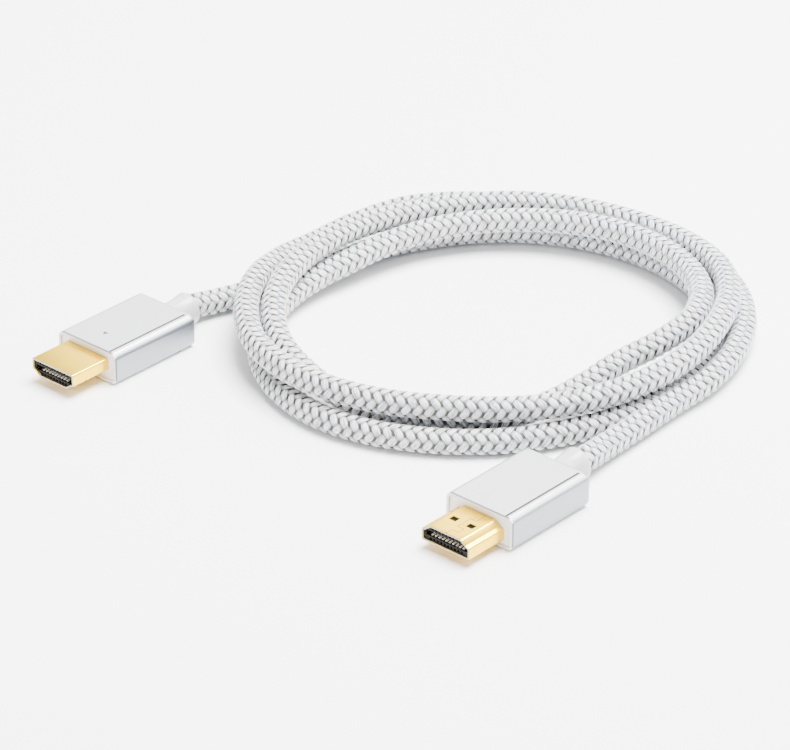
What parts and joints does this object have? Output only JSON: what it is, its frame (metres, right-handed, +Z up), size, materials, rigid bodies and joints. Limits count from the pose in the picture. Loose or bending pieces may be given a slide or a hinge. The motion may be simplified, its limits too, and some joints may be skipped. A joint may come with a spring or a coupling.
{
  "type": "hdmi cable",
  "caption": "Coiled white braided audio and video cable with two 19-contact gold plugs in silver aluminium housings.",
  "frame": {"origin": "centre of the underside of the box round the two plugs, on the floor", "axes": "+X from the left plug to the right plug, +Z up, the plugs' noses point to -Y"},
  "size_m": [0.1386, 0.1569, 0.0146],
  "materials": {
    "housing_aluminium": "fine brushed",
    "insert_white": "gloss white",
    "gold_plate": "bright gold plate",
    "block_black": "matte black",
    "collar_pearl": "pearl white",
    "cable_braid": "white and silver braid"
  },
  "bodies": {
    "root": {"left_housing": "housing_aluminium", "left_nose_insert": "insert_white", "left_plug_shell": "gold_plate", "left_contact_block": "block_black", "left_collar": "collar_pearl", "left_contact_wide_1": "gold_plate", "left_contact_wide_2": "gold_plate", "left_contact_wide_3": "gold_plate", "left_contact_wide_4": "gold_plate", "left_contact_wide_5": "gold_plate", "left_contact_wide_6": "gold_plate", "left_contact_wide_7": "gold_plate", "left_contact_wide_8": "gold_plate", "left_contact_wide_9": "gold_plate", "left_contact_wide_10": "gold_plate", "left_contact_narrow_1": "gold_plate", "left_contact_narrow_2": "gold_plate", "left_contact_narrow_3": "gold_plate", "left_contact_narrow_4": "gold_plate", "left_contact_narrow_5": "gold_plate", "left_contact_narrow_6": "gold_plate", "left_contact_narrow_7": "gold_plate", "left_contact_narrow_8": "gold_plate", "left_contact_narrow_9": "gold_plate", "right_housing": "housing_aluminium", "right_nose_insert": "insert_white", "right_plug_shell": "gold_plate", "right_contact_block": "block_black", "right_collar": "collar_pearl", "right_contact_wide_1": "gold_plate", "right_contact_wide_2": "gold_plate", "right_contact_wide_3": "gold_plate", "right_contact_wide_4": "gold_plate", "right_contact_wide_5": "gold_plate", "right_contact_wide_6": "gold_plate", "right_contact_wide_7": "gold_plate", "right_contact_wide_8": "gold_plate", "right_contact_wide_9": "gold_plate", "right_contact_wide_10": "gold_plate", "right_contact_narrow_1": "gold_plate", "right_contact_narrow_2": "gold_plate", "right_contact_narrow_3": "gold_plate", "right_contact_narrow_4": "gold_plate", "right_contact_narrow_5": "gold_plate", "right_contact_narrow_6": "gold_plate", "right_contact_narrow_7": "gold_plate", "right_contact_narrow_8": "gold_plate", "right_contact_narrow_9": "gold_plate", "cable_coil": "cable_braid", "left_cable_tail": "cable_braid", "right_cable_tail": "cable_braid"}
  },
  "joints": []
}
